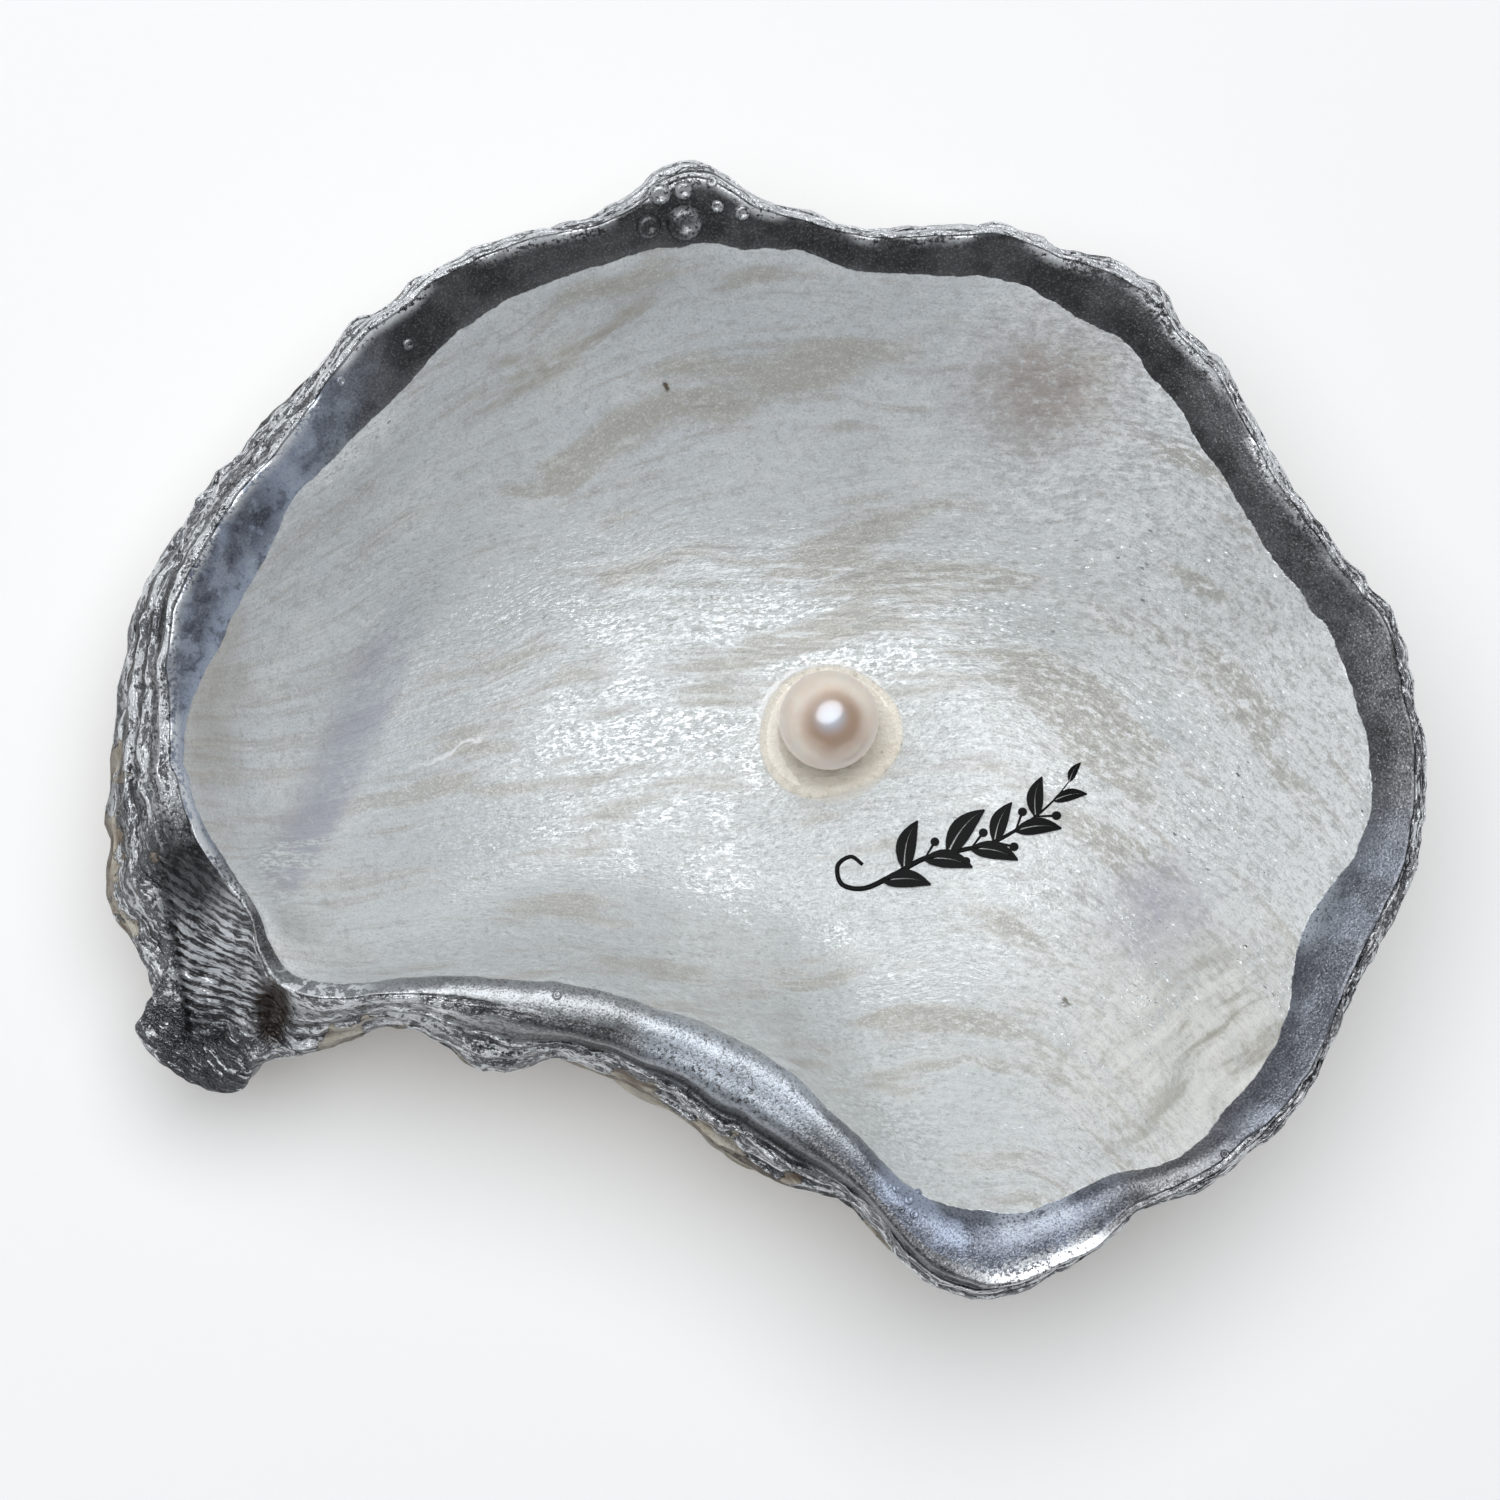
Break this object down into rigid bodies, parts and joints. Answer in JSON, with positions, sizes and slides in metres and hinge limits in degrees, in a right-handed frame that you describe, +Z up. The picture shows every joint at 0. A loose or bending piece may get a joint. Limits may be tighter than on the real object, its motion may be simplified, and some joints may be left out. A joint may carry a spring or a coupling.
{
  "type": "pearl shell dish",
  "caption": "Cupped oyster shell used as a small dish, with a pearlescent painted bowl, a silver painted rim, and a pearl set in clear glue.",
  "frame": {"origin": "under the middle of the shell, on the surface that it stands on", "axes": "+X along the long way of the shell, with the hinge at the low end of X and Y; +Y across it towards the back; +Z up, out of the open bowl"},
  "size_m": [0.0952, 0.0814, 0.0258],
  "materials": {
    "painted_shell": "satin",
    "pearl": "polished",
    "clear_glue": "gloss",
    "ink": "satin"
  },
  "bodies": {
    "root": {"shell": "painted_shell", "pearl": "pearl", "glue": "clear_glue"}
  },
  "joints": []
}
